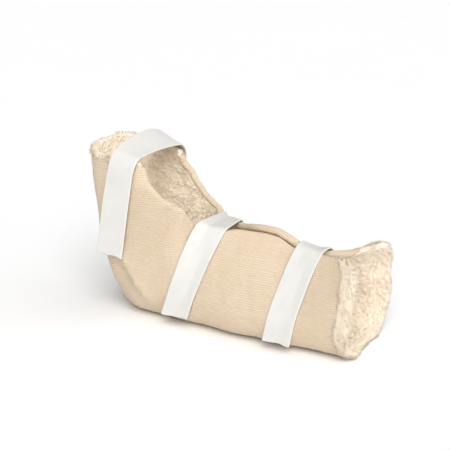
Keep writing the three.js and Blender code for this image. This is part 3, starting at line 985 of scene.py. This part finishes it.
def tight_path(points, near_end, far_end, near_out):
    """The way of a tight strap round points of the wall, as (y, z), from its near end."""
    out = STRAP_OFF + STRAP_HALF
    keep = points[:, 1] > np.where(points[:, 0] < 0, near_end, far_end)
    used = [tuple(p) for p in points[keep]]
    near, far = min(p[0] for p in used), max(p[0] for p in used)
    used = sorted(used + [(near - near_out, near_end), (far + FAR_OUT, far_end)])
    hull = []
    for p in used:
        while len(hull) > 1:
            a, b = hull[-2], hull[-1]
            if (b[0] - a[0]) * (p[1] - a[1]) - (b[1] - a[1]) * (p[0] - a[0]) < 0:
                break
            hull.pop()
        hull.append(p)
    ways = [math.atan2(b[1] - a[1], b[0] - a[0]) for a, b in zip(hull, hull[1:])]
    path = []
    for k, p in enumerate(hull):
        first, last = ways[max(k - 1, 0)], ways[min(k, len(ways) - 1)]
        steps = math.ceil(abs(last - first) / BEND_STEP) + 1
        for i in range(steps):
            a = mix(first, last, i / (steps - 1) if steps > 1 else 0.5)
            path.append((p[0] - math.sin(a) * out, p[1] + math.cos(a) * out))
    return np.array(path)


def resample(line, run, count):
    want = np.linspace(0, run[-1], count)
    return np.stack([np.interp(want, run, values) for values in line.T], -1)


def spread(path, count):
    """Points along a path, closer where it bends."""
    step = np.diff(path, axis=0)
    way = np.arctan2(step[:, 1], step[:, 0])
    bend = np.concatenate([[0], np.abs(np.diff(way))]) * BEND
    run = np.concatenate([[0], np.cumsum(np.hypot(step[:, 0], step[:, 1]) + bend)])
    return resample(path, run, count + 1)


def strap_middle(row):
    """Middle surface of a strap, from its heel-side edge to the other, as in the part's source."""
    _, start, lean, near_end, far_end, near_out, across, _ = row
    lines = []
    for t in np.linspace(0, 1, STRAP_LINES):
        place = start + (t - 0.5) * STRAP_WIDE * math.hypot(1, lean)
        points = crossing(coarse, place, lean, across)
        if across:
            points = np.concatenate([points, mix(CREST[:, :2], CREST[:, 2:], t)])
        yz = spread(tight_path(points, near_end, far_end, near_out), STRAP_STEPS)
        lines.append(np.stack([place + lean * yz[:, 1], yz[:, 0], yz[:, 1]], -1))
    return np.array(lines)


def coarse_rows():
    """Rows of the part's source: closer round the heel."""
    heel, foot = FLOOR_RUN - 8, FLOOR_RUN + HEEL_RUN + 8
    leg_rows = np.linspace(0, heel, 12, endpoint=False)
    heel_rows = np.linspace(heel, foot, 9, endpoint=False)
    return np.concatenate([leg_rows, heel_rows, np.linspace(foot, SPINE, 13)]) / SPINE


coarse = wall(*places(coarse_rows(), np.linspace(-1, 1, 33)))


def bell(reach, wide):
    """Weights of a smoothing that sum to 1."""
    weight = np.exp(-(np.arange(-reach, reach + 1) / wide)**2)
    return weight / weight.sum()


def even(lines, count):
    """Lines resampled to even steps and smoothed, ends kept."""
    reach = 9
    weight = bell(reach, 4.0)
    out = []
    for line in lines:
        p = resample(line, length_along(line), count)
        pad = np.concatenate([2 * p[:1] - p[reach:0:-1], p, 2 * p[-1:] - p[-2:-reach - 2:-1]])
        out.append(np.stack([np.convolve(pad[:, k], weight, "valid") for k in range(3)], -1))
    return np.array(out)


# Sewn end: its height over the knit, its length, the bend into it, and how far to look for the knit
TAPE_REST = 1.5
SEWN_LONG = 85
SEWN_BEND = 50
SEWN_LOOK = 0.02


def settle(lines):
    """The sewn far end of a strap bent in until it lies on the knit."""
    tree = BVHTree.FromPolygons([v.co for v in knit.data.vertices], [p.vertices for p in knit.data.polygons])
    inward = grid_frame(lines)[0]
    run = length_along(lines[1])
    share = ease((run - run[-1] + SEWN_LONG) / SEWN_BEND)
    push = np.zeros(lines.shape[:2])
    for i, j in np.argwhere(np.broadcast_to(share > 0, push.shape)):
        hit = tree.ray_cast(Vector(to_frame(lines[i, j])[0]), Vector(inward[i, j]), SEWN_LOOK)
        push[i, j] = max(hit[3] / MM - TAPE_REST, 0) if hit[0] else 0
    reach = 8
    pad = np.pad(push, ((0, 0), (reach, reach)), mode="edge")
    push = np.array([np.convolve(row, bell(reach, 5.0), "valid") for row in pad])
    return lines + inward * (push * share)[..., None]


# Section of a tape: points, half its thickness, beads near its edges, and round of the edges
TAPE_ACROSS = 25
TAPE_ALONG = 230
TAPE_HALF = 0.8
TAPE_INSET = 0.7
BEAD_HIGH = 0.1
BEAD_AT = 14.6
EDGE_IN = np.array([0.2, 0, 0.2])
EDGE_HIGH = np.array([0.55, 0, -0.55])
END_THIN = 0.62

# Unevenness of a tape: its waves, and the curl and the cut of its near end
TAPE_WAVE = 0.12
CURL_HIGH = 0.7
CURL_LONG = 5.0
CUT_UNEVEN = 0.9
SLANT_LONG = 14.0


def make_strap(row, seed):
    """A tape along its strap's path, with the lines, normals and distances that the stitches use."""
    name, slant = row[0], row[-1]
    lines = settle(even(strap_middle(row), TAPE_ALONG))
    half = STRAP_WIDE / 2
    top = np.linspace(-half + TAPE_INSET, half - TAPE_INSET, TAPE_ACROSS)
    flat = TAPE_HALF + BEAD_HIGH * np.exp(-(np.abs(top) - BEAD_AT)**2)
    edge = half - EDGE_IN
    wide = np.concatenate([top, edge, top[::-1], -edge])
    high = np.concatenate([flat, EDGE_HIGH, -flat[::-1], -EDGE_HIGH])
    k = (wide + half) / STRAP_WIDE * (STRAP_LINES - 1)
    i, j = np.meshgrid(np.arange(TAPE_ALONG, dtype=float), k, indexing="ij")
    grid, normals = lines.transpose(1, 0, 2), -grid_frame(lines)[0].transpose(1, 0, 2)
    mid = sample(grid, i, j)
    up = unit(sample(normals, i, j))
    run = length_along(lines[1])
    thin = np.ones(TAPE_ALONG)
    thin[[0, -1]] = END_THIN
    wave = TAPE_WAVE * ripple(i * run[-1] / TAPE_ALONG, j * 12, (38, 29, 21, 15), seed)
    near_end = np.exp(-run / CURL_LONG)[:, None]
    lift = CURL_HIGH * (wide / half)**2 * near_end**2
    slip = CUT_UNEVEN * ripple(wide, 0, (31, 23, 17), seed + 20) * near_end
    slip = slip + slant * (wide / half - 1) * np.exp(-run / SLANT_LONG)[:, None]
    p = mid + up * (high[None] * thin[:, None] + wave + lift)[..., None]
    p = p + unit(lines[1, 0] - lines[1, 1]) * slip[..., None]
    size = len(wide)
    base = np.arange(TAPE_ALONG * size).reshape(TAPE_ALONG, size)
    after = np.roll(base, -1, axis=1)
    faces = np.stack([base[:-1], after[:-1], after[1:], base[1:]], -1).reshape(-1, 4).tolist()
    for ring, order in ((base[0], 1), (base[-1], -1)):
        under = ring[TAPE_ACROSS + 3:2 * TAPE_ACROSS + 3][::-1]
        caps = [(ring[q], under[q], under[q + 1], ring[q + 1]) for q in range(TAPE_ACROSS - 1)]
        caps.append(ring[TAPE_ACROSS - 1:TAPE_ACROSS + 4][::-1])
        caps.append(np.append(ring[2 * TAPE_ACROSS + 2:], ring[0])[::-1])
        faces += [[int(v) for v in cap][::order] for cap in caps]
    cloth = np.zeros(p.shape)
    cloth[..., 0], cloth[..., 1] = run[:, None], wide
    obj = piece(name.replace("strap", "tape"), p, faces, STRAP, name, [("cloth", cloth)])
    return obj, grid, normals, run


# Sewn box: its ends, from the end of the tape, half its width, and the step and gaps of its stitches
BOX_START = 31.0
BOX_STOP = 5.0
BOX_HALF = 12.0
STITCH_STEP = 3.4
STITCH_GAP = 0.08


def stitch_rows(length):
    """Starts and ends of the stitches of a sewn box with a cross, at the far end of a strap."""
    low, high = length - BOX_START, length - BOX_STOP
    corners = [(low, -BOX_HALF), (low, BOX_HALF), (high, BOX_HALF), (high, -BOX_HALF)]
    walks = [(corners[k], corners[(k + 1) % 4]) for k in range(4)]
    walks += [(corners[0], corners[2]), (corners[1], corners[3])]
    rows = []
    for a, b in walks:
        a, b = np.array(a), np.array(b)
        count = int(round(np.linalg.norm(b - a) / STITCH_STEP))
        for k in range(count):
            rows.append((mix(a, b, (k + STITCH_GAP) / count), mix(a, b, (k + 1 - STITCH_GAP) / count)))
    return rows


# Rings of a stitch: place along it, radius and height
STITCH_FORM = [(0, 0.105, 0.6), (0.12, 0.336, 0.97), (0.5, 0.42, 1.15), (0.88, 0.336, 0.97), (1, 0.105, 0.6)]
STITCH_SIDES = 6
STITCH_AHEAD = 0.05


def make_stitches(name, grid, up, run):
    """Small closed rods of thread that dip into the tape at both ends."""
    points, faces, marks = [], [], []
    sides, last = STITCH_SIDES, (len(STITCH_FORM) - 1) * STITCH_SIDES

    def spot(at):
        i = np.interp(at[0], run, np.arange(len(run)))
        return np.array([i]), np.array([(at[1] / STRAP_WIDE + 0.5) * (STRAP_LINES - 1)])

    for a, b in stitch_rows(run[-1]):
        first = len(points)
        for t, radius, high in STITCH_FORM:
            at = mix(a, b, t)
            p, u = sample(grid, *spot(at))[0], unit(sample(up, *spot(at)))[0]
            way = unit(sample(grid, *spot(at + (b - a) * STITCH_AHEAD))[0] - p)
            cross = np.cross(way, u)
            for k in range(sides):
                angle = k * math.tau / sides
                round_it = math.cos(angle) * cross + math.sin(angle) * u
                points.append(p + u * high + radius * round_it)
                marks.append((at[0] + t, 0.5 * k, at[1]))
        for r in range(first, first + last, sides):
            for k in range(sides):
                q = (k + 1) % sides
                faces.append([r + k, r + sides + k, r + sides + q, r + q])
        faces.append([first + k for k in range(sides)])
        faces.append([first + last + k for k in range(sides)][::-1])
    return piece(name, np.array(points), faces, THREAD, None, [("cloth", marks)])


# Stretches of the spine with tufts, and the counts of the fringe on each edge
TUFTS = [("pile_leg", 3, 230), ("pile_heel", 230, 345), ("pile_foot", 345, SPINE - 5)]
FRINGE = [
    ("calf", (1400, 800, 500, 1000)),
    ("toe", (400, 420, 300, 600)),
    ("front", (160, 160, 120, 160)),
]

knit = make_knit()
pile = [make_lining()]
for name, low, high in TUFTS:
    pile.append(make_tufts(name, low, high, step=2.6))
pile.append(make_fringe("pile_fringe", FRINGE))
fuzz = make_fuzz("knit_fuzz", count=9000)
for k, row in enumerate(STRAPS):
    tape, grid, up, run = make_strap(row, seed=60 + k)
    sewn = make_stitches(row[0].replace("strap", "stitches"), grid, up, run)


# Floor, light and camera
def make_floor():
    """A plain white floor just under the part."""
    m = Nodes("floor_white")
    grain = m.noise(m.new("TexCoord").outputs["Object"], 3.0, 2.0)
    colour = m.mix(grain, (0.975, 0.975, 0.975, 1), (0.985, 0.985, 0.985, 1))
    m.finish(colour, m.span(grain, 0, 1, 0.85, 0.95), m.bump(grain, 0.02, 0.001), 0.0, (1, 1, 1, 1))
    mesh = bpy.data.meshes.new("floor")
    r, drop = 100.0, 0.0005
    mesh.from_pydata([(-r, -r, 0), (r, -r, 0), (r, r, 0), (-r, r, 0)], [], [(0, 1, 2, 3)])
    mesh.materials.append(m.block)
    floor = add_object("floor", mesh)
    floor.location.z = -drop


# name, place that the light comes from, spread in degrees, power
LIGHTS = [
    ("key", (0.75, -1.20, 1.30), 40, 2.06),
    ("top", (1.45, -0.62, 1.90), 115, 2.06),
]


def make_light(name, place, spread_deg, power):
    """A wide soft white light from the direction of place."""
    data = bpy.data.lights.new(name, "SUN")
    data.angle = math.radians(spread_deg)
    data.energy = power
    obj = add_object(name, data)
    obj.location = place
    obj.rotation_euler = (-Vector(place)).to_track_quat("-Z", "Y").to_euler()


# Height over the horizon up to which the world is white, and from which it is dim
WORLD_EDGE = (0.02, 0.06)
WORLD_DIM = 0.09


def make_world():
    """A plain white world that fills the shadows a little."""
    m = Nodes("studio", bpy.data.worlds)
    height = m.parts(m.new("TexCoord").outputs["Generated"])[2]
    strength = m.span(height, *WORLD_EDGE, 1.0, WORLD_DIM)
    m.put(m.tree.nodes["Background"], ((0, (1.0, 1.0, 1.0, 1)), (1, strength)))
    bpy.context.scene.world = m.block


CAMERA_TURN = math.radians(28)
CAMERA_UP = math.radians(21)
CAMERA_FAR = 1.25
CAMERA_AIM = Vector((0.00233, 0.00118, 0.057))
CAMERA_LENS = 84.8
CAMERA_SHIFT = (-13 / 450, 51 / 450)
CAMERA_CLIP = 300.0


def make_camera():
    """The photograph's view, fitted to the outline."""
    data = bpy.data.cameras.new("camera")
    data.lens = CAMERA_LENS
    data.shift_x, data.shift_y = CAMERA_SHIFT
    data.clip_end = CAMERA_CLIP
    obj = add_object("camera", data)
    level = math.cos(CAMERA_UP)
    look = Vector((-math.sin(CAMERA_TURN) * level, math.cos(CAMERA_TURN) * level, -math.sin(CAMERA_UP)))
    obj.location = CAMERA_AIM - look * CAMERA_FAR
    obj.rotation_euler = look.to_track_quat("-Z", "Y").to_euler()
    bpy.context.scene.camera = obj


make_floor()
make_world()
for light in LIGHTS:
    make_light(*light)
make_camera()
bpy.context.scene.view_settings.view_transform = "Standard"
